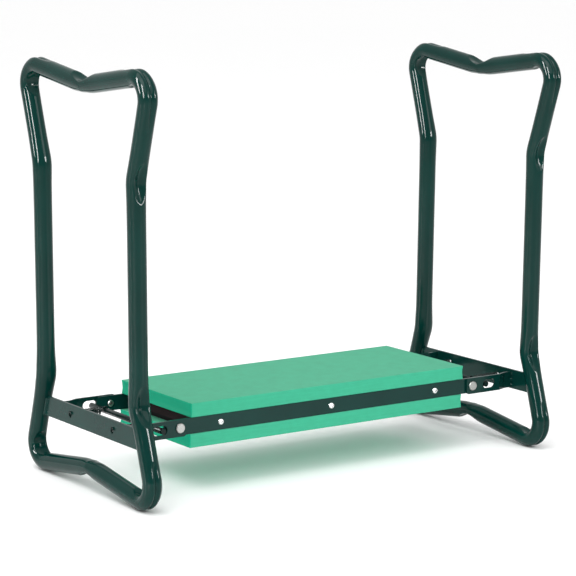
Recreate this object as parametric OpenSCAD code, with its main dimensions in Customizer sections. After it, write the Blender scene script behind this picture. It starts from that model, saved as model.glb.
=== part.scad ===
// Folding garden kneeler seat: two bent-tube hoops carry a padded seat between them.
// The hoops swing in over the seat for storage, and a sprung bar at each end holds them upright.
// Origin: on the floor, under the middle of the seat. +X runs along the seat, +Z is up.

/* [Hoops] */
// Outside diameter of the hoop tube
tube_d = 21.5; // [18:0.5:24]
// Wall thickness of the tube
tube_wall = 1.2; // [0.8:0.1:2]
// Height between the corners of the foot and of the handle, before they are rounded
corner_span = 479; // [450:1:510]
// Distance from the middle of the seat to a hoop, at the cross plate
hoop_x = 281.4; // [270:0.2:300]
// Outward lean of each hoop
hoop_lean = 0.55; // [0:0.05:1.5]
// Half width to the point where a foot's or a handle's two straight runs would meet
corner_y = 142.7; // [130:0.1:155]
// Half width of the straight middle stretch, at its two bends
pinch_y = 106.3; // [98:0.1:115]
// Height of the lower side bend above the foot's corners
low_pinch_z = 111.4; // [105:0.2:120]
// Drop of the upper side bend below the handle's corners
top_pinch_drop = 116.8; // [105:0.2:130]
// Rise of the foot bar, and dip of the handle bar, at the middle
bar_kink = 19.6; // [5:0.1:28]
// Bend radius of the corners
corner_r = 22.5; // [20:0.5:30]
// Bend radius of the side bends
pinch_r = 41; // [30:1:60]
// Bend radius of the kink in the handle bar and the foot bar
kink_r = 15; // [12:1:30]
// Diameter of the vent hole under each foot bar
vent_d = 4; // [2:0.5:5]

/* [Seat] */
// Height of the seat's middle plane and its hinge line
seat_z = 79.4; // [70:0.2:90]
// Length of each foam pad
pad_l = 396; // [360:1:410]
// Width of each foam pad
pad_w = 157; // [140:1:157]
// Thickness of each foam pad
pad_t = 16.8; // [12:0.2:25]
// How far the upper pad was glued off centre
upper_pad_shift = 2; // [0:0.5:3]
// Thickness of the board between the pads
board_t = 18.6; // [15:0.2:20]
// Distance the board stops short of the pads' ends
board_inset = 14; // [5:1:25]
// Thickness of the side rails
rail_t = 3; // [2:0.5:3]
// Distance between a rail's outer screw and its middle one
screw_pitch = 156; // [120:1:170]

/* [Brackets] */
// Distance from the middle of the seat to the hinge rivets
hinge_x = 212.8; // [208:0.1:214]
// Height of the arms
arm_h = 20; // [18:0.5:22]
// Thickness of the arms
arm_t = 2.5; // [2:0.5:3]
// Gap between an arm and its rail
arm_gap = 0.3; // [0.2:0.1:0.5]
// Inward step of each arm where it meets the cross plate
arm_joggle = 5; // [3:0.5:7]
// Height of the cross plate
plate_h = 24; // [22:0.5:26]
// Thickness of the cross plate
plate_t = 2.5; // [2:0.5:3]
// Distance from the middle of the cross plate to a spring
spring_y = 48.2; // [40:0.2:55]

/* [Latch] */
// Diameter of the latch bar
bar_d = 7; // [6:0.5:8]
// Distance from the middle of the seat to a latch bar
bar_x = 236.2; // [235:0.1:237]
// How far each bar has drifted along its slots
bar_float = 2; // [0:0.5:3]
// Inner end of a slot
slot_in = 229.7; // [229:0.1:231]
// Outer end of a slot
slot_out = 248.6; // [248:0.1:252]
// Height of a slot
slot_h = 11.2; // [10:0.2:12]
// Outside diameter of a spring
spring_d = 9; // [8:0.5:10]
// Wire diameter of a spring
wire_d = 1.2; // [0.8:0.1:1.6]

/* [Fasteners] */
// Diameter of a rivet's outer head
rivet_head_d = 11.6; // [10:0.2:13]
// Diameter of a rivet's shank
rivet_d = 7; // [6:0.5:8]
// Diameter of a rail screw's head
screw_head_d = 7.6; // [6:0.2:9]
// Diameter of a rail screw's shank
screw_d = 4; // [3.5:0.5:5]

/* [Hidden] */
$fn = 64;
eps = 0.01;

GREEN = [0.05, 0.17, 0.14];
FOAM = [0.29, 0.76, 0.60];
BOARD = [0.16, 0.14, 0.14];
ZINC = [0.75, 0.76, 0.75];

tube_r = tube_d / 2;
rail_h = board_t - 0.2;
rail_y = pad_w / 2;
arm_y = rail_y + arm_gap;
arm_out_y = arm_y + arm_t;
arm_z = seat_z - 0.2;
plate_z = seat_z + 0.1;
plate_in_x = hoop_x - plate_t / 2;
rivet_pivot_r = bar_x - hinge_x - bar_d / 2;
rail_end_r = rivet_pivot_r - 0.8;
bar_z = seat_z - 0.8;
hole_gap = 0.05;
arm_end_r = 4;
joggle_start = 12;
joggle_run = 12;
tack_r = 2;
bend_swell = 0.06;
run_in = 0.4;
// Distance an arm reaches past its rivet, towards the pads
arm_reach = 8.7;

// Corners of one half of the hoop, from the handle's kink down to the foot bar's,
// as [y, z, bend radius] in the hoop's own plane before it is set on the floor
HALF = [[0, corner_span - bar_kink, kink_r], [corner_y, corner_span, corner_r],
    [pinch_y, corner_span - top_pinch_drop, pinch_r], [pinch_y, low_pinch_z, pinch_r],
    [corner_y, 0, corner_r], [0, bar_kink, kink_r]];
OUTLINE = concat(HALF, [for (i = [4:-1:1]) [-HALF[i].x, HALF[i].y, HALF[i].z]]);

function at(i) = let (v = OUTLINE[(i + len(OUTLINE)) % len(OUTLINE)]) [v.x, v.y];
function toward(a, b) = (b - a) / norm(b - a);
function heading(v) = atan2(v.y, v.x);
function turn_angle(i) = acos(toward(at(i - 1), at(i)) * toward(at(i), at(i + 1)));
function setback(i) = OUTLINE[i].z * tan(turn_angle(i) / 2);
function bend_start(i) = at(i) + setback(i) * toward(at(i), at(i - 1));
function bend_end(i) = at(i) + setback(i) * toward(at(i), at(i + 1));
function is_left_turn(i) =
    let (a = toward(at(i - 1), at(i)), b = toward(at(i), at(i + 1))) a.x * b.y - a.y * b.x > 0;
function bend_centre(i) =
    let (a = toward(at(i - 1), at(i)), side = is_left_turn(i) ? 1 : -1)
    bend_start(i) + side * OUTLINE[i].z * [-a.y, a.x];

// The corners' arcs are the hoop's lowest stretches, so they set it on the floor
low_z = bend_centre(4).y - corner_r;
hoop_lift = tube_r + bend_swell - low_z;

module tube_section(swell) {
    difference() {
        circle(r = tube_r + swell);
        circle(r = tube_r - tube_wall - swell);
    }
}

// One bent tube round OUTLINE, drawn in its plane: x is the hoop's width and y its height.
// Bending swells the tube a little, so each straight run is let into the bends at its ends
module bent_tube() {
    for (i = [0:len(OUTLINE) - 1]) {
        run = at(i + 1) - at(i);
        length = norm(bend_start((i + 1) % len(OUTLINE)) - bend_end(i));
        translate(bend_end(i) - run_in * toward(at(i), at(i + 1)))
            rotate([0, 0, heading(run)])
                rotate([0, 90, 0])
                    linear_extrude(length + 2 * run_in)
                        tube_section(0);
        from = heading((is_left_turn(i) ? bend_start(i) : bend_end(i)) - bend_centre(i));
        translate(bend_centre(i))
            rotate([0, 0, from])
                rotate_extrude(angle = turn_angle(i))
                    translate([OUTLINE[i].z, 0])
                        tube_section(bend_swell);
    }
}

// Stands a hoop in its place at one end: side is -1 on the left and 1 on the right
module stand_hoop(side) {
    translate([side * hoop_x, 0, plate_z])
        rotate([0, side * hoop_lean, 0])
            translate([0, 0, hoop_lift - plate_z])
                rotate([90, 0, 90])
                    children();
}

module hoop(side) {
    color(GREEN)
        difference() {
            stand_hoop(side)
                bent_tube();
            translate([side * hoop_x, 30, -eps])
                cylinder(h = bar_kink + tube_r, d = vent_d);
        }
}

// Half width of the hoop's inner side at a height, along the straight run down to the foot
function inner_y(z) =
    let (run = toward(at(3), at(4)), from = at(3), z0 = z - hoop_lift)
    from.x + (z0 - from.y) * run.x / run.y - tube_r / -run.y;

module cross_plate(side) {
    low = plate_z - plate_h / 2;
    high = plate_z + plate_h / 2;
    outline = [[-inner_y(low), low], [inner_y(low), low], [inner_y(high), high], [-inner_y(high), high]];
    color(GREEN)
        translate([side * hoop_x - plate_t / 2, 0, 0])
            rotate([90, 0, 90])
                linear_extrude(plate_t)
                    difference() {
                        polygon(outline);
                        for (y = [-spring_y, spring_y])
                            translate([y, seat_z])
                                spring_slot();
                    }
}

// The spring's tail hooks through this upright slot in the cross plate
module spring_slot() {
    for (z = [-1.5, 1.5])
        translate([0, z])
            circle(d = 5, $fn = 48);
    square([5, 3], center = true);
}

// Side view of an arm, drawn with x away from the middle of the seat
module arm_side() {
    difference() {
        union() {
            translate([hinge_x - arm_reach, -arm_h / 2 + arm_end_r])
                square([plate_in_x - hinge_x + arm_reach, arm_h - 2 * arm_end_r]);
            translate([hinge_x - arm_reach + arm_end_r, -arm_h / 2])
                square([plate_in_x - hinge_x + arm_reach - arm_end_r, arm_h]);
            for (z = [-1, 1])
                translate([hinge_x - arm_reach + arm_end_r, z * (arm_h / 2 - arm_end_r)])
                    circle(r = arm_end_r);
        }
        translate([hinge_x, seat_z - arm_z])
            circle(d = rivet_d + 2 * hole_gap);
        for (x = [slot_in + slot_h / 2, slot_out - slot_h / 2])
            translate([x, 0])
                circle(d = slot_h);
        translate([slot_in + slot_h / 2, -slot_h / 2])
            square([slot_out - slot_in - slot_h, slot_h]);
    }
}

// Top view of an arm: straight past the rail's end, then stepped in to the cross plate
module arm_plan() {
    far = plate_in_x;
    bend_a = far - joggle_start - joggle_run;
    bend_b = far - joggle_start;
    near = hinge_x - arm_reach;
    polygon([[near, arm_y], [bend_a, arm_y], [bend_b, arm_y - arm_joggle], [far, arm_y - arm_joggle],
        [far, arm_out_y - arm_joggle], [bend_b, arm_out_y - arm_joggle], [bend_a, arm_out_y],
        [near, arm_out_y]]);
}

// side is -1 on the left and 1 on the right; face is -1 at the front and 1 at the back
module arm(side, face) {
    color(GREEN)
        at_corner(side, face)
            intersection() {
                translate([0, 0, arm_z - arm_h])
                    linear_extrude(2 * arm_h)
                        arm_plan();
                translate([0, arm_out_y + eps, arm_z])
                    rotate([90, 0, 0])
                        linear_extrude(arm_t + arm_joggle + 2 * eps)
                            arm_side();
            }
}

// Mirrors a piece drawn at the right back to any of the four corners
module at_corner(side, face) {
    mirror([side < 0 ? 1 : 0, 0, 0])
        mirror([0, face < 0 ? 1 : 0, 0])
            children();
}

// Weld beads: along the tube on both faces of the cross plate, and tacks down each arm
module welds(side) {
    low = plate_z - plate_h / 2 + 1;
    high = plate_z + plate_h / 2 - 1;
    color(GREEN)
        mirror([side < 0 ? 1 : 0, 0, 0])
            for (face = [-1, 1])
                mirror([0, face < 0 ? 1 : 0, 0]) {
                    difference() {
                        translate([hoop_x, inner_y(low), low])
                            rotate([-heading([high - low, inner_y(high) - inner_y(low)]), 0, 0])
                                cylinder(h = high - low, r = 3.2);
                        translate([hoop_x - plate_t / 2, 0, 0])
                            cube([plate_t, 200, 200]);
                        stand_hoop(1)
                            foot_run();
                    }
                    for (z = [-7, 0, 7])
                        difference() {
                            translate([plate_in_x, arm_out_y - arm_joggle, arm_z + z])
                                sphere(r = tack_r, $fn = 32);
                            translate([plate_in_x, 0, 0])
                                cube([20, 200, 200]);
                            translate([0, 0, arm_z - arm_h])
                                linear_extrude(2 * arm_h)
                                    arm_plan();
                        }
                }
}

// The solid bar that fills one foot run of the hoop, used to cut the beads to the tube
module foot_run() {
    run = at(4) - at(3);
    translate(at(3))
        rotate([0, 0, heading(run)])
            rotate([0, 90, 0])
                cylinder(h = norm(run), r = tube_r);
}

module rail(face) {
    color(GREEN)
        mirror([0, face < 0 ? 1 : 0, 0])
            translate([0, rail_y, seat_z])
                rotate([90, 0, 0])
                    linear_extrude(rail_t)
                        difference() {
                            union() {
                                square([2 * hinge_x, rail_h], center = true);
                                for (side = [-1, 1])
                                    intersection() {
                                        translate([side * hinge_x, 0])
                                            circle(r = rail_end_r);
                                        translate([side * hinge_x, 0])
                                            square([3 * rail_end_r, rail_h], center = true);
                                    }
                            }
                            for (side = [-1, 1])
                                translate([side * hinge_x, 0])
                                    circle(d = rivet_d);
                            for (i = [-1:1])
                                translate([i * screw_pitch, 0])
                                    circle(d = screw_d);
                        }
}

// A flat-headed rivet lying along +Y, with its head's underside at y = 0
module rivet_shape(grip) {
    head_t = 2;
    tail_t = 1.8;
    tail_r = 4;
    rotate([90, 0, 0])
        rotate_extrude()
            polygon([[0, -head_t], [rivet_head_d / 2 - 0.9, -head_t], [rivet_head_d / 2 - 0.3, -head_t + 0.4],
                [rivet_head_d / 2, -head_t + 1], [rivet_head_d / 2, 0], [rivet_d / 2, 0],
                [rivet_d / 2, grip], [tail_r, grip], [tail_r, grip + tail_t - 0.7],
                [tail_r - 0.7, grip + tail_t], [1.9, grip + tail_t], [1.9, grip - 2], [0, grip - 2.8]]);
}

module rivet(side, face) {
    play = 0.15;
    color(ZINC)
        at_corner(side, face)
            translate([hinge_x, arm_out_y + play, seat_z])
                rivet_shape(arm_t + arm_gap + rail_t + play);
}

module rail_screws(face) {
    head_t = 2;
    color(ZINC)
        mirror([0, face < 0 ? 1 : 0, 0])
            for (i = [-1:1])
                translate([i * screw_pitch, rail_y, seat_z])
                    difference() {
                        rotate([90, 0, 0])
                            rotate_extrude()
                                polygon([[0, -head_t], [1.8, -head_t], [2.9, -head_t + 0.3],
                                    [screw_head_d / 2 - 0.2, -head_t + 1.2], [screw_head_d / 2, 0],
                                    [screw_d / 2, 0], [screw_d / 2, 18], [0, 20]]);
                        for (a = [0, 90])
                            translate([0, head_t, 0])
                                rotate([0, a, 0])
                                    cube([4, 2.6, 0.9], center = true);
                    }
}

module seat_board() {
    color(BOARD)
        difference() {
            translate([0, 0, seat_z])
                cube([pad_l - 2 * board_inset, pad_w - 2 * rail_t, board_t], center = true);
            for (face = [-1, 1], i = [-1:1])
                translate([i * screw_pitch, face * rail_y, seat_z])
                    rotate([face * 90, 0, 0])
                        cylinder(h = 20, d = screw_d);
        }
}

module foam_pad(shift, bottom_z) {
    color(FOAM)
        translate([shift - pad_l / 2, -pad_w / 2, bottom_z])
            cube([pad_l, pad_w, pad_t]);
}

module latch_bar(side) {
    reach = arm_out_y + 1;
    chamfer = 0.6;
    r = bar_d / 2;
    color(GREEN)
        translate([side * bar_x, side * bar_float, bar_z])
            rotate([90, 0, 0])
                rotate_extrude()
                    polygon([[0, -reach], [r - chamfer, -reach], [r, chamfer - reach],
                        [r, reach - chamfer], [r - chamfer, reach], [0, reach]]);
}

// The space a spring's coils fill, as a sleeve between the cross plate and the latch bar
module spring_sleeve(side, face) {
    from = bar_x + bar_d / 2 + 0.3;
    color(GREEN)
        at_corner(side, face)
            translate([from, spring_y, seat_z])
                rotate([0, 90, 0])
                    linear_extrude(plate_in_x - from)
                        difference() {
                            circle(d = spring_d);
                            circle(d = spring_d - 2 * wire_d);
                        }
}

foam_pad(upper_pad_shift, seat_z + board_t / 2);  // upper_foam_pad
foam_pad(0, seat_z - board_t / 2 - pad_t);  // lower_foam_pad
seat_board();
rail(-1);  // front_rail
rail(1);  // back_rail
rail_screws(-1);  // front_rail_screws
rail_screws(1);  // back_rail_screws
for (side = [-1, 1]) {
    end = side < 0 ? "left" : "right";
    rivet(side, -1);
    rivet(side, 1);
    hoop(side);
    cross_plate(side);
    arm(side, -1);
    arm(side, 1);
    welds(side);
    spring_sleeve(side, -1);
    spring_sleeve(side, 1);
    latch_bar(side);
}
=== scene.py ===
"""Looks of a folding garden kneeler seat: green tube hoops, foam pads, springs and zinc fasteners.

The CAD frame sets every place and size. The tubes, pads and springs are drawn again here in finer
detail, and everything else keeps its CAD mesh. Lengths are in millimetres, or in metres where their
name ends in _m or _M and in the bumps of the materials.
"""
import math

import bmesh
import bpy
from mathutils import Matrix, Vector, noise


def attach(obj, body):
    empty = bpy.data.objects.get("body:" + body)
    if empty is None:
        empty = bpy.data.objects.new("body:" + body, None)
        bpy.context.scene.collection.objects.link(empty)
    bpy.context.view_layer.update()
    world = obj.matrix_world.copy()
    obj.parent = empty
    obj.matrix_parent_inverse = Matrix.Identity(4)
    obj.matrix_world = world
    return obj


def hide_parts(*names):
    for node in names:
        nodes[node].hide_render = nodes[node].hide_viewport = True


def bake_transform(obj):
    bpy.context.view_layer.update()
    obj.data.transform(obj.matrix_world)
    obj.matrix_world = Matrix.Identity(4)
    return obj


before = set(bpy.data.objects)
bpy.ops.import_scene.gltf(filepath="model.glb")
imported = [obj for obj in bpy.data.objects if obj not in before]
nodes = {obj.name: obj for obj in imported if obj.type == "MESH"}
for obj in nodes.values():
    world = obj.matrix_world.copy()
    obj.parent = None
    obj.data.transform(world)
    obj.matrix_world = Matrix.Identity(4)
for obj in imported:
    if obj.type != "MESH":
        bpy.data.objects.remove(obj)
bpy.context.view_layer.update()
scene = bpy.context.scene

MM = 0.001
# Where the hoops stand, how far they lean outwards, and the heights of the cross plates and the seat
HOOP_X = 281.4
LEAN = math.radians(0.55)
PLATE_Z = 79.5
SEAT_Z = 79.4
# The hoop's centre line: its height, how far the middle of each end dips inwards, and where it bends
SPAN = 479.0
KINK = 19.6
CORNER_Y, PINCH_Y = 142.7, 106.3
LOW_PINCH_Z, TOP_PINCH_Z = 111.4, SPAN - 116.8
CORNER_R, PINCH_R, KINK_R = 22.5, 41.0, 15.0
TUBE_R = 10.75
# The cross plate's thickness, the latch bar and the springs' distance from the middle
PLATE_T = 2.5
BAR_X, BAR_Z, BAR_R = 236.2, 78.6, 3.5
SPRING_Y = 48.2
# The pads and the board between them. The upper pad sits a little off centre
PAD_L, PAD_W, PAD_T = 396.0, 157.0, 16.8
UPPER_PAD_X = 2.0
BOARD_T = 18.6
SIDES = (("left", -1), ("right", 1))
FACES = (("front", -1), ("back", 1))


# ---------------------------------------------------------------- small helpers

def lerp(a, b, t):
    return a + (b - a) * t


def scaled(colour, factor):
    return tuple(c * factor for c in colour)


def new_object(name, verts, faces, smooth=True):
    mesh = bpy.data.meshes.new(name)
    mesh.from_pydata([Vector(v) * MM for v in verts], [], faces)
    mesh.update()
    if smooth:
        mesh.shade_smooth()
    obj = bpy.data.objects.new(name, mesh)
    scene.collection.objects.link(obj)
    return obj


def paint(obj, material):
    obj.data.materials.clear()
    obj.data.materials.append(material)


# ---------------------------------------------------------------- materials

class Nodes:
    """A short way to write a shader: n(type, {input: value or socket}, property=value) is the node."""

    def __init__(self, name):
        self.material = bpy.data.materials.new(name)
        self.material.use_nodes = True
        self.tree = self.material.node_tree
        self.shader = self.tree.nodes["Principled BSDF"]
        self.shader.inputs["Base Color"].default_value = (0.5, 0.5, 0.5, 1)

    def __call__(self, kind, inputs=None, **props):
        node = self.tree.nodes.new("ShaderNode" + kind)
        for key, value in props.items():
            setattr(node, key, value)
        self.wire(node, inputs or {})
        return node

    def wire(self, node, inputs):
        for key, value in inputs.items():
            socket = node.inputs[key]
            if isinstance(value, bpy.types.NodeSocket):
                self.tree.links.new(value, socket)
            else:
                socket.default_value = value

    def set(self, **inputs):
        self.wire(self.shader, {k.replace("_", " "): v for k, v in inputs.items()})

    def coords(self, scale=(1, 1, 1)):
        where = self("TexCoord").outputs["Object"]
        return self("Mapping", {"Vector": where, "Scale": scale}).outputs["Vector"]

    def noise(self, scale, detail=3.0, rough=0.5, vector=None):
        vector = vector or self.coords()
        inputs = {"Vector": vector, "Scale": scale, "Detail": detail, "Roughness": rough}
        return self("TexNoise", inputs).outputs["Fac"]

    def ramp(self, fac, stops):
        node = self("ValToRGB", {"Fac": fac})
        ramp = node.color_ramp
        while len(ramp.elements) < len(stops):
            ramp.elements.new(0.5)
        for element, (at, colour) in zip(ramp.elements, stops):
            element.position = at
            element.color = (*colour, 1)
        return node.outputs["Color"]

    def span(self, fac, low, high):
        return self("MapRange", {"Value": fac, "To Min": low, "To Max": high}).outputs["Result"]

    def bump(self, height, distance_m, strength=1.0, under=None):
        inputs = {"Height": height, "Distance": distance_m, "Strength": strength}
        if under:
            inputs["Normal"] = under
        return self("Bump", inputs).outputs["Normal"]


def powder_coat(name, colour, rough=0.07, peel=0.000006):
    """Gloss powder coat: a faint orange peel, a slightly uneven gloss and colour."""
    n = Nodes(name)
    broad = n.noise(14.0, 2.0)
    n.set(Base_Color=n.ramp(broad, [(0.3, scaled(colour, 0.86)), (0.7, scaled(colour, 1.12))]),
          Roughness=n.span(n.noise(60.0, 3.0), rough * 0.8, rough * 1.35),
          Normal=n.bump(n.noise(420.0, 2.0), peel))
    n.shader.inputs["IOR"].default_value = 1.25
    return n.material


def foam_material(name, colour, pale, end_colour_without_sheen):
    """Closed-cell foam: fine cells and faint level streaks. Light is painted in: the top is paler as
    painted sheen, the sides hold a little painted sheen, and the ends have a colour of their own without
    it.
    """
    n = Nodes(name)
    cells = n("TexVoronoi", {"Vector": n.coords(), "Scale": 620.0}).outputs["Distance"]
    grain = n.noise(1.0, 4.0, 0.6, n.coords((30, 30, 900)))
    mottled = n.noise(90.0, 5.0, 0.65)
    part_grain = n("Math", {0: grain, 1: 0.55}, operation="MULTIPLY").outputs[0]
    part_mottled = n("Math", {0: mottled, 1: 0.45}, operation="MULTIPLY").outputs[0]
    streaks = n("Math", {0: part_grain, 1: part_mottled}, operation="ADD").outputs[0]
    # Painted light: faces turned up take the paler top colour as painted sheen, and faces turned to the
    # ends take the end colour, a copy of the green without the painted sheen of the sides
    facing = n("SeparateXYZ", {"Vector": n("NewGeometry").outputs["Normal"]}).outputs
    facing_up = n("Math", {0: facing["Z"], 1: 0.0}, operation="MAXIMUM").outputs[0]
    facing_end = n("Math", {0: facing["X"]}, operation="ABSOLUTE").outputs[0]
    base = n.ramp(streaks, [(0.3, scaled(colour, 0.9)), (0.7, scaled(colour, 1.08))])
    top = n.ramp(mottled, [(0.3, scaled(pale, 0.93)), (0.7, scaled(pale, 1.06))])
    side = n("Mix", {"Factor": facing_end, "A": base, "B": (*end_colour_without_sheen, 1)}, data_type="RGBA")
    blend = n("Mix", {"Factor": facing_up, "A": side.outputs["Result"], "B": top}, data_type="RGBA")
    n.set(Base_Color=blend.outputs["Result"], Roughness=n.span(mottled, 0.62, 0.8),
          Normal=n.bump(cells, 0.00012, 0.5, n.bump(streaks, 0.00022, 0.6)))
    n.shader.inputs["Sheen Weight"].default_value = 0.03
    n.shader.inputs["Sheen Roughness"].default_value = 0.6
    n.shader.inputs["Specular IOR Level"].default_value = 0.06
    return n.material


def board_material(name):
    """Dark board: brown-black, with painted shade as a blacker strip along the bottom of its edge, where it
    meets the lower pad.
    """
    n = Nodes(name)
    z = n("SeparateXYZ", {"Vector": n("TexCoord").outputs["Object"]}).outputs["Z"]
    level = n("MapRange", {"Value": z, "From Min": (SEAT_Z - BOARD_T / 2) * MM,
                           "From Max": (SEAT_Z + BOARD_T / 2) * MM}).outputs["Result"]
    fibres = n.noise(1.0, 4.0, 0.6, n.coords((40, 40, 1200)))
    # Painted shade: the bottom of the edge turns near-black where the board meets the lower pad
    colour = n.ramp(level, [(0.2, (0.004, 0.005, 0.005)), (0.28, (0.026, 0.014, 0.016))])
    speck = n.ramp(fibres, [(0.3, (0.55, 0.55, 0.55)), (0.75, (1.25, 1.2, 1.2))])
    n.set(Base_Color=n("Mix", {"Factor": 1.0, "A": colour, "B": speck}, data_type="RGBA",
                       blend_type="MULTIPLY").outputs["Result"],
          Roughness=n.span(fibres, 0.6, 0.8), Normal=n.bump(fibres, 0.0001, 0.5))
    n.shader.inputs["Specular IOR Level"].default_value = 0.05
    return n.material


def zinc_material(name, colour, rough):
    """Zinc plate on a pressed head: fine turning lines and a cloudy gloss."""
    n = Nodes(name)
    cloud = n.noise(700.0, 3.0)
    n.set(Base_Color=n.ramp(cloud, [(0.3, scaled(colour, 0.85)), (0.75, colour)]),
          Roughness=n.span(cloud, rough * 0.8, rough * 1.3), Metallic=1.0,
          Normal=n.bump(n.noise(1500.0, 2.0), 0.00002))
    return n.material


COAT = powder_coat("green_powder_coat", (0.0009, 0.028, 0.0228))
FLAT_COAT = powder_coat("green_powder_coat_on_strip", (0.0014, 0.030, 0.0245), 0.16, 0.00001)
# The darker coat of the springs, also worn by the latch bar as painted shade for the shadow under the seat
SPRING_AND_SHADE_COAT = powder_coat("dark_green_coat_springs_and_shaded_bar", (0.0012, 0.012, 0.010), 0.2, 0.00001)
# Foam colours: the sides' green with a little painted sheen, the top's paler green as painted sheen, and
# the ends' green without painted sheen
FOAM = foam_material("green_foam", (0.047, 0.40, 0.24), (0.068, 0.345, 0.212), (0.001, 0.41, 0.228))
BOARD = board_material("dark_board")
RIVET = zinc_material("zinc_rivet", (0.34, 0.344, 0.33), 0.28)
SCREW = zinc_material("zinc_screw", (0.70, 0.72, 0.72), 0.24)


# ---------------------------------------------------------------- the hoops

# The bends of one half (y, z, radius), from the kink in the handle down to the kink in the foot bar, and
# then the same for the whole hoop
HALF = [(0, SPAN - KINK, KINK_R), (CORNER_Y, SPAN, CORNER_R), (PINCH_Y, TOP_PINCH_Z, PINCH_R),
        (PINCH_Y, LOW_PINCH_Z, PINCH_R), (CORNER_Y, 0, CORNER_R), (0, KINK, KINK_R)]
HALF_KINDS = ["kink", "top_corner", "upper_pinch", "lower_pinch", "foot_corner", "kink"]
OUTLINE = HALF + [(-y, z, r) for y, z, r in HALF[4:0:-1]]
KINDS = HALF_KINDS + HALF_KINDS[4:0:-1]
COUNT = len(OUTLINE)
FOOT_CORNER = 4
# How far apart the rings of the tube are: in a bend, beside one, and on the rest of a straight
BEND_STEP, BESIDE_STEP, STRAIGHT_STEP = 1.2, 1.5, 7.0
BESIDE = 34.0
RING = 80


class Bend:
    """One bend of the hoop's centre line, in its plane (y, z). Its left is 1 for a left turn, else -1."""

    def __init__(self, before, corner, after, kind):
        here = Vector(corner[:2])
        a = (here - Vector(before[:2])).normalized()
        b = (Vector(after[:2]) - here).normalized()
        cross = a.x * b.y - a.y * b.x
        self.angle = math.acos(max(-1, min(1, a.dot(b))))
        self.left = 1 if cross > 0 else -1
        self.radius = corner[2]
        setback = self.radius * math.tan(self.angle / 2)
        self.start, self.end = here - a * setback, here + b * setback
        self.centre = self.start + Vector((-a.y, a.x)) * self.left * self.radius
        self.heading = math.atan2(a.y, a.x)
        self.kind = kind
        self.middle_s = 0.0

    def point(self, t):
        """Place and heading at share t of the bend."""
        h = self.heading + self.left * self.angle * t
        side = Vector((-math.sin(h), math.cos(h))) * self.left
        return self.centre - side * self.radius, h


BENDS = [Bend(OUTLINE[i - 1], OUTLINE[i], OUTLINE[(i + 1) % COUNT], KINDS[i]) for i in range(COUNT)]
# This lift stands the round tube of the foot corners 0.06 above the floor
HOOP_LIFT = TUBE_R - (BENDS[FOOT_CORNER].centre.y - CORNER_R) + 0.06


def centre_line():
    """Stations round the hoop: (place, heading, distance along), close together near the bends."""
    stations, s = [], 0.0
    for i, bend in enumerate(BENDS):
        arc = bend.radius * bend.angle
        steps = max(8, round(arc / BEND_STEP))
        bend.middle_s = s + arc / 2
        for k in range(steps):
            place, heading = bend.point(k / steps)
            stations.append((place, heading, s + arc * k / steps))
        s += arc
        run = BENDS[(i + 1) % COUNT].start - bend.end
        heading = math.atan2(run.y, run.x)
        at = 0.0
        while at < run.length - 1e-6:
            stations.append((bend.end + run.normalized() * at, heading, s + at))
            edge = min(at, run.length - at)
            at += BESIDE_STEP if edge < BESIDE else STRAIGHT_STEP
        s += run.length
    return stations, s


STATIONS, LOOP = centre_line()
# What bending did to the tube at each kind of bend. The inner side collapsed to a flat: half length,
# depth, how far it is dished, and how abruptly it ends. The outer side may have a narrow groove (half
# length, half width, depth), and is pressed in by squash. The tube also got wider across the bend, by swell
DENTS = {
    "top_corner": dict(flat=(32.0, 4.0, 1.2, 4.0), groove=(50.0, 6.0, 3.0), swell=0.6, squash=1.3),
    "foot_corner": dict(flat=(32.0, 4.0, 1.2, 4.0), groove=(40.0, 4.6, 3.2), swell=0.6, squash=0.0),
    "upper_pinch": dict(flat=(25.0, 3.5, 3.0, 2.0), groove=None, swell=0.7, squash=0.0),
    "lower_pinch": dict(flat=(25.0, 4.1, 3.0, 2.0), groove=None, swell=1.7, squash=0.0),
    "kink": dict(flat=(26.0, 7.0, 1.2, 2.0), groove=None, swell=0.5, squash=1.8),
}
# How far along the tube swell and squash fade, how far a bend is felt at all, and how far a flat may
# reach round the tube from its middle, in radians
SWELL_REACH, SQUASH_REACH, BEND_REACH = 22.0, 11.0, 60
FLAT_REACH = 1.3
# The tube is never quite round: by how much, and how fast that changes round it and along it
UNEVEN, UNEVEN_ROUND, UNEVEN_ALONG = 0.05, 1.3, 0.018


def along(s, bend):
    """Distance along the tube from the middle of a bend, the short way round."""
    d = (s - bend.middle_s) % LOOP
    return d - LOOP if d > LOOP / 2 else d


def flat_radius(ds, off, r, shape):
    """Radius where a collapsed side cuts the round tube off, dished between two crisp creases.

    ds is the distance along the tube from the middle of the bend, off the angle from its inner side.
    """
    length, depth, dish, abrupt = shape
    u = 1 - abs(ds / length) ** abrupt
    if u <= 0 or abs(off) > FLAT_REACH:
        return r
    height = r - depth * u
    half = math.sqrt(r * r - height * height)
    v = 1 - (height * math.tan(off) / half) ** 2
    if v <= 0:
        return r
    return min(r, (height - dish * u * v) / math.cos(off))


def groove_depth(ds, around, shape):
    """Depth of the groove at ds along the tube and around it, both measured from its middle."""
    length, width, depth = shape
    u = 1 - (ds / length) ** 4
    v = 1 - abs(around) / width
    return depth * u * v ** 1.4 if u > 0 and v > 0 else 0.0


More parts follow.
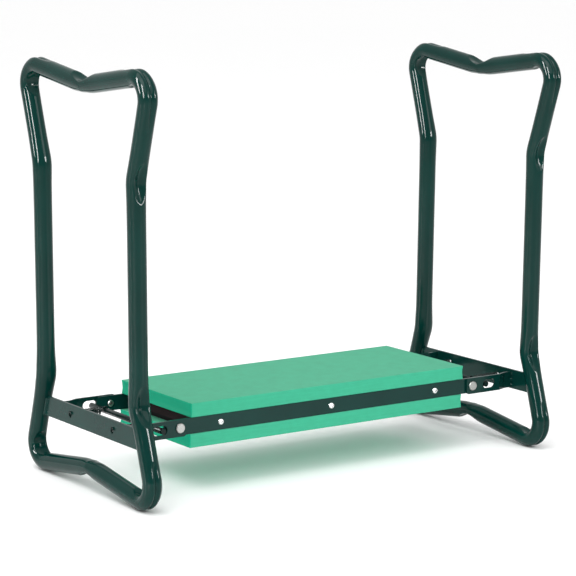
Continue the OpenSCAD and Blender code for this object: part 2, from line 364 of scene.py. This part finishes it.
def tube_radius(s, theta, close):
    """Radius of the bent tube at distance s along it; theta is 0 on the left of the way it runs."""
    where = Vector((UNEVEN_ROUND * math.cos(theta), UNEVEN_ROUND * math.sin(theta), s * UNEVEN_ALONG))
    r = TUBE_R + UNEVEN * noise.noise(where)
    for bend, ds in close:
        dent = DENTS[bend.kind]
        inside = 0.0 if bend.left > 0 else math.pi
        off = math.remainder(theta - inside, 2 * math.pi)
        inner = max(0.0, math.cos(off)) ** 2
        outer = max(0.0, -math.cos(off)) ** 2
        r += math.exp(-(ds / SWELL_REACH) ** 2) * dent["swell"] * (math.sin(off) ** 2 - 0.45 * inner)
        r -= dent["squash"] * math.exp(-(ds / SQUASH_REACH) ** 2) * outer
        if dent["groove"]:
            around = TUBE_R * math.remainder(off - math.pi, 2 * math.pi)
            r -= groove_depth(ds, around, dent["groove"])
        r = flat_radius(ds, off, r, dent["flat"])
    return r


def stand(side, y, z, out):
    """A point at (y, z) of the hoop's own plane and out from it along X, once the hoop stands and leans."""
    z = z + HOOP_LIFT - PLATE_Z
    a = side * LEAN
    return (side * HOOP_X + out * math.cos(a) + z * math.sin(a), y,
            PLATE_Z - out * math.sin(a) + z * math.cos(a))


def build_hoop(name, side):
    """The closed tube of one hoop: a ring of points at each station, dented by the bends nearby."""
    verts, faces = [], []
    for place, heading, s in STATIONS:
        left = Vector((-math.sin(heading), math.cos(heading)))
        close = [(bend, along(s, bend)) for bend in BENDS if abs(along(s, bend)) < BEND_REACH]
        for k in range(RING):
            theta = 2 * math.pi * k / RING
            r = tube_radius(s, theta, close)
            flat = place + left * r * math.cos(theta)
            verts.append(stand(side, flat.x, flat.y, r * math.sin(theta)))
    count = len(STATIONS)
    for i in range(count):
        j = (i + 1) % count
        for k in range(RING):
            m = (k + 1) % RING
            faces.append((i * RING + k, i * RING + m, j * RING + m, j * RING + k))
    return new_object(name, verts, faces)


# ---------------------------------------------------------------- foam pads

PAD_SIZE = (PAD_L, PAD_W, PAD_T)
PAD_STEPS = (66, 28, 7)
EDGE_R = 0.9
# How far the long sides are hollow, how many times hollower the ends are, and how much that wavers
HOLLOW, END_TIMES, WAVER = 0.5, 2.2, 0.25
# How far the flat faces sink, and waver about that
SINK = 0.06


def grid_lines(half, steps):
    """Positions along one edge of a pad: close together in its rounded edge, even between."""
    edge = [half - EDGE_R * (1 - math.sin(math.pi / 2 * t)) for t in (0, 0.35, 0.7, 1)]
    inner = [lerp(-half + EDGE_R, half - EDGE_R, t / steps) for t in range(1, steps)]
    return [-e for e in reversed(edge)] + inner + edge


def build_pad(name, centre, seed):
    """A slab cut from foam sheet: small rounded edges, sides a touch hollow, faces a touch uneven."""
    half = [s / 2 for s in PAD_SIZE]
    lines = [grid_lines(h, steps) for h, steps in zip(half, PAD_STEPS)]
    bm = bmesh.new()
    made = {}

    def vertex(p):
        key = tuple(round(c, 4) for c in p)
        if key not in made:
            core = Vector([max(-(h - EDGE_R), min(h - EDGE_R, c)) for c, h in zip(p, half)])
            off = Vector(p) - core
            q = core + off.normalized() * EDGE_R if off.length > 1e-6 else Vector(p)
            up = q.z / half[2]
            bow = HOLLOW * (1 - up * up)
            for axis in (0, 1):
                if abs(q[axis]) > half[axis] - EDGE_R * 1.01:
                    wave = WAVER * noise.noise(Vector((q.x * 0.02, q.y * 0.02, seed + q.z * 0.15)))
                    deep = bow * (END_TIMES if axis == 0 else 1.0)
                    q[axis] -= math.copysign(max(0.0, deep * (0.7 + wave)), q[axis])
            if abs(q.z) > half[2] - EDGE_R * 1.01:
                wave = noise.noise(Vector((q.x * 0.018, q.y * 0.018, seed)))
                q.z -= math.copysign(SINK + SINK * wave, q.z)
            made[key] = bm.verts.new((q + Vector(centre)) * MM)
        return made[key]

    for axis in range(3):
        u, v = [a for a in range(3) if a != axis]
        for end in (-half[axis], half[axis]):
            for i in range(len(lines[u]) - 1):
                for j in range(len(lines[v]) - 1):
                    corners = []
                    for a, b in ((i, j), (i + 1, j), (i + 1, j + 1), (i, j + 1)):
                        p = [0, 0, 0]
                        p[axis], p[u], p[v] = end, lines[u][a], lines[v][b]
                        corners.append(vertex(p))
                    if len(set(corners)) == 4:
                        bm.faces.new(corners)
    bmesh.ops.recalc_face_normals(bm, faces=bm.faces)
    mesh = bpy.data.meshes.new(name)
    bm.to_mesh(mesh)
    bm.free()
    mesh.shade_smooth()
    obj = bpy.data.objects.new(name, mesh)
    scene.collection.objects.link(obj)
    return obj


# ---------------------------------------------------------------- springs

WIRE_R, WIRE_RING = 0.85, 12
DOME = (0.5, 1.0, 1.45)
TURNS, TURN_STEPS = 11.0, 26
COIL_R = 4.5 - WIRE_R
COIL_END_X = HOOP_X - PLATE_T / 2 - 1.0
# The coil is wound closer in its last part: the share of its turns and of its length before that
LOOSE_TURNS, LOOSE_LENGTH = 0.76, 0.86
BAR_HOOK_R, BAR_HOOK_STEPS = BAR_R + WIRE_R + 0.1, 14
# The wire turns up outside the plate with this radius, then over in a hook of that radius
TURN_UP_R, TURN_UP_STEPS = 1.6, 5
HOOK_R, HOOK_STEPS = 2.1, 10


def sweep_wire(name, path):
    """A round wire along a path, with domed ends."""
    path = [Vector(p) for p in path]
    last = len(path) - 1
    tangents = [(path[min(i + 1, last)] - path[max(i - 1, 0)]).normalized() for i in range(last + 1)]
    across = tangents[0].orthogonal().normalized()
    rings = []
    for p, t in zip(path, tangents):
        across = (across - t * across.dot(t)).normalized()
        rings.append((p, across.copy(), t.cross(across), WIRE_R))

    def dome(end, outwards, angles):
        p, a, b, r = end
        return [(p + outwards * r * math.sin(w), a, b, r * math.cos(w)) for w in angles]

    rings = dome(rings[0], -tangents[0], DOME[::-1]) + rings + dome(rings[-1], tangents[-1], DOME)
    verts, faces = [], []
    for p, a, b, r in rings:
        for k in range(WIRE_RING):
            w = 2 * math.pi * k / WIRE_RING
            verts.append(p + a * r * math.cos(w) + b * r * math.sin(w))
    for i in range(len(rings) - 1):
        here, there = i * WIRE_RING, (i + 1) * WIRE_RING
        for k in range(WIRE_RING):
            m = (k + 1) % WIRE_RING
            faces.append((here + k, here + m, there + m, there + k))
    faces.append(tuple(range(WIRE_RING - 1, -1, -1)))
    faces.append(tuple(range((len(rings) - 1) * WIRE_RING, len(rings) * WIRE_RING)))
    return new_object(name, verts, faces)


def build_spring(name, side, face):
    """A coil spring with one hook round the latch bar and another in the cross plate."""
    y0 = face * SPRING_Y
    path = []
    for k in range(BAR_HOOK_STEPS + 1):
        t = k / BAR_HOOK_STEPS
        a = math.radians(200 - 200 * t)
        x, z = BAR_X + BAR_HOOK_R * math.cos(a), BAR_Z + BAR_HOOK_R * math.sin(a)
        path.append((x, y0 + 0.4 * (1 - t), z))
    start_x, start_z = path[-1][0] + 0.8, path[-1][2]
    steps = int(TURNS * TURN_STEPS)
    for k in range(1, steps + 1):
        t = k / steps
        a = 2 * math.pi * TURNS * t
        # The coil grows out of the hook, and narrows again before the slot
        r = COIL_R * min(1.0, k / 14.0) * lerp(0.35, 1.0, min(1.0, (steps - k) / 8.0))
        if t < LOOSE_TURNS:
            share = lerp(0.0, LOOSE_LENGTH, t / LOOSE_TURNS)
        else:
            share = lerp(LOOSE_LENGTH, 1.0, (t - LOOSE_TURNS) / (1 - LOOSE_TURNS))
        x, middle_z = lerp(start_x, COIL_END_X, share), lerp(start_z, SEAT_Z, min(1, t * 6))
        path.append((x, y0 + r * math.sin(a), middle_z + r * math.cos(a)))
    # Out through the slot, up its outer face, then over in a small hook
    path.append((HOOP_X - 1.3, y0, SEAT_Z - 2.0))
    for k in range(TURN_UP_STEPS + 1):
        a = math.pi / 2 * k / TURN_UP_STEPS
        x, z = HOOP_X + 0.9 + TURN_UP_R * math.sin(a), SEAT_Z - 0.4 - TURN_UP_R * math.cos(a)
        path.append((x, y0, z))
    for k in range(HOOK_STEPS + 1):
        a = math.pi * k / HOOK_STEPS
        y, z = y0 - HOOK_R * (1 - math.cos(a)), SEAT_Z + 1.2 + HOOK_R * math.sin(a)
        path.append((HOOP_X + 2.5, y, z))
    return sweep_wire(name, [(side * x, y, z) for x, y, z in path])


# ---------------------------------------------------------------- build the pieces

for side_name, side in SIDES:
    leg, latch = side_name + "_leg", side_name + "_latch"
    hoop = build_hoop(side_name + "_hoop_tube", side)
    paint(hoop, COAT)
    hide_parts(side_name + "_hoop")
    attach(hoop, leg)
    for face_name, face in FACES:
        spring = build_spring(f"{side_name}_{face_name}_coil_spring", side, face)
        paint(spring, SPRING_AND_SHADE_COAT)
        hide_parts(f"{side_name}_{face_name}_spring")
        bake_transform(spring)

upper = build_pad("upper_pad_foam", (UPPER_PAD_X, 0, SEAT_Z + BOARD_T / 2 + PAD_T / 2), 3.1)
lower = build_pad("lower_pad_foam", (0.0, 0, SEAT_Z - BOARD_T / 2 - PAD_T / 2), 8.7)
for pad, node in ((upper, "upper_foam_pad"), (lower, "lower_foam_pad")):
    paint(pad, FOAM)
    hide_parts(node)
    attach(pad, "seat")

FINISH = {"rivet": (RIVET, "zinc"), "screws": (SCREW, "zinc"), "board": (BOARD, "board")}
MERGE_M, BEVEL_M = 0.00001, 0.00035
for name, obj in nodes.items():
    if obj.hide_render:
        continue
    found = [finish for key, finish in FINISH.items() if key in name]
    material, slot_name = found[0] if found else (FLAT_COAT, "powder_coat")
    if name.endswith("welds"):
        material = COAT
    # Painted shade: the latch bar sits in shadow under the seat and wears the darker coat of the springs
    if name.endswith("latch_bar"):
        material = SPRING_AND_SHADE_COAT
    paint(obj, material)
    weld = obj.modifiers.new("weld", "WELD")
    weld.merge_threshold = MERGE_M
    if name.endswith("arm"):
        bevel = obj.modifiers.new("edges", "BEVEL")
        bevel.width = BEVEL_M
        bevel.segments = 2
        bevel.limit_method = "ANGLE"
        bevel.angle_limit = math.radians(50)
        bevel.harden_normals = True


# ---------------------------------------------------------------- camera, floor and light

# The camera was fitted to the photo by the outlines of the hoops, pads and brackets
CAMERA_AT = (-1536.6, -2212.5, 662.2)
CAMERA_YAW, CAMERA_PITCH, CAMERA_ROLL = 0.60414, -0.16645, 0.00631
SENSOR, FOCAL_LENGTH = 36.0, 141.68125
CLIP_M = (0.05, 60)


def set_camera():
    """Yaw turns from +Y towards +X, pitch is up, and roll leans the picture's upright to its left."""
    data = bpy.data.cameras.new("camera")
    cam = bpy.data.objects.new("camera", data)
    scene.collection.objects.link(cam)
    level = Vector((math.sin(CAMERA_YAW), math.cos(CAMERA_YAW), 0))
    ahead = level * math.cos(CAMERA_PITCH) + Vector((0, 0, math.sin(CAMERA_PITCH)))
    right = Vector((math.cos(CAMERA_YAW), -math.sin(CAMERA_YAW), 0))
    up = right.cross(ahead)
    rolled_right = right * math.cos(CAMERA_ROLL) + up * math.sin(CAMERA_ROLL)
    rolled_up = up * math.cos(CAMERA_ROLL) - right * math.sin(CAMERA_ROLL)
    turn = Matrix((rolled_right, rolled_up, -ahead)).transposed()
    cam.matrix_world = Matrix.Translation(Vector(CAMERA_AT) * MM) @ turn.to_4x4()
    data.sensor_width = SENSOR
    data.lens = FOCAL_LENGTH
    data.clip_start, data.clip_end = CLIP_M
    scene.camera = cam


def area_light(name, place_m, target_m, size_m, watts):
    data = bpy.data.lights.new(name, "AREA")
    data.shape = "RECTANGLE"
    data.size, data.size_y = size_m
    data.energy = watts
    obj = bpy.data.objects.new(name, data)
    obj.location = place_m
    obj.rotation_euler = (Vector(target_m) - Vector(place_m)).to_track_quat("-Z", "Y").to_euler()
    scene.collection.objects.link(obj)
    return obj


def soft_sun(from_direction, strength):
    """A sun as wide as a window, so that shadows fade with distance from what casts them."""
    data = bpy.data.lights.new("soft_sun", "SUN")
    data.energy = strength
    data.angle = math.radians(50)
    obj = bpy.data.objects.new("soft_sun", data)
    obj.rotation_euler = Vector(from_direction).to_track_quat("Z", "Y").to_euler()
    scene.collection.objects.link(obj)


def world_light():
    """A pale room: white towards +X and +Y, greyer towards -X and -Y, so that the gloss shows tones."""
    world = bpy.data.worlds.new("room")
    scene.world = world
    world.use_nodes = True
    tree = world.node_tree
    tree.nodes.clear()
    where = tree.nodes.new("ShaderNodeTexCoord")
    dot = tree.nodes.new("ShaderNodeVectorMath")
    dot.operation = "DOT_PRODUCT"
    dot.inputs[1].default_value = (0.75, 0.5, 0.0)
    level = tree.nodes.new("ShaderNodeMapRange")
    level.interpolation_type = "SMOOTHSTEP"
    level.inputs["From Min"].default_value = -0.85
    level.inputs["From Max"].default_value = 0.1
    level.inputs["To Min"].default_value = 0.5
    level.inputs["To Max"].default_value = 1.08
    back = tree.nodes.new("ShaderNodeBackground")
    out = tree.nodes.new("ShaderNodeOutputWorld")
    tree.links.new(where.outputs["Generated"], dot.inputs[0])
    tree.links.new(dot.outputs["Value"], level.inputs["Value"])
    tree.links.new(level.outputs["Result"], back.inputs["Strength"])
    tree.links.new(back.outputs["Background"], out.inputs["Surface"])


set_camera()
world_light()
area_light("overhead", (-1.3, -0.2, 2.9), (0, 0, 0.1), (2.4, 1.8), 42)
area_light("front_fill", (1.05, -2.85, 1.9), (0, 0, 0.2), (1.4, 1.0), 18)
soft_sun((-0.5, -0.45, 0.75), 1.2)
# A small bright lamp that only the gloss shows, as the glints in the dented bends
area_light("front_glint", (1.05, -2.85, 1.25), (0, 0, 0.2), (0.8, 0.7), 82).visible_diffuse = False
# Two tall strips at the left that only the gloss shows, as the pair of streaks down each flared tube
for name, place_m in (("strip_back", (-2.65, 0.90, 1.55)), ("strip_front", (-2.61, -1.02, 1.55))):
    area_light(name, place_m, (0, 0, 0.25), (0.45, 2.1), 170).visible_diffuse = False

FLOOR = 60000
corners = [(-FLOOR, -FLOOR, 0), (FLOOR, -FLOOR, 0), (FLOOR, FLOOR, 0), (-FLOOR, FLOOR, 0)]
floor = new_object("floor", corners, [(0, 1, 2, 3)], smooth=False)
pale = Nodes("pale_floor")
tint = pale.ramp(pale.noise(3.0), [(0, (0.98, 0.98, 0.98)), (1, (0.985, 0.985, 0.985))])
pale.set(Base_Color=tint, Roughness=0.55)
floor.data.materials.append(pale.material)

scene.view_settings.view_transform = "Standard"
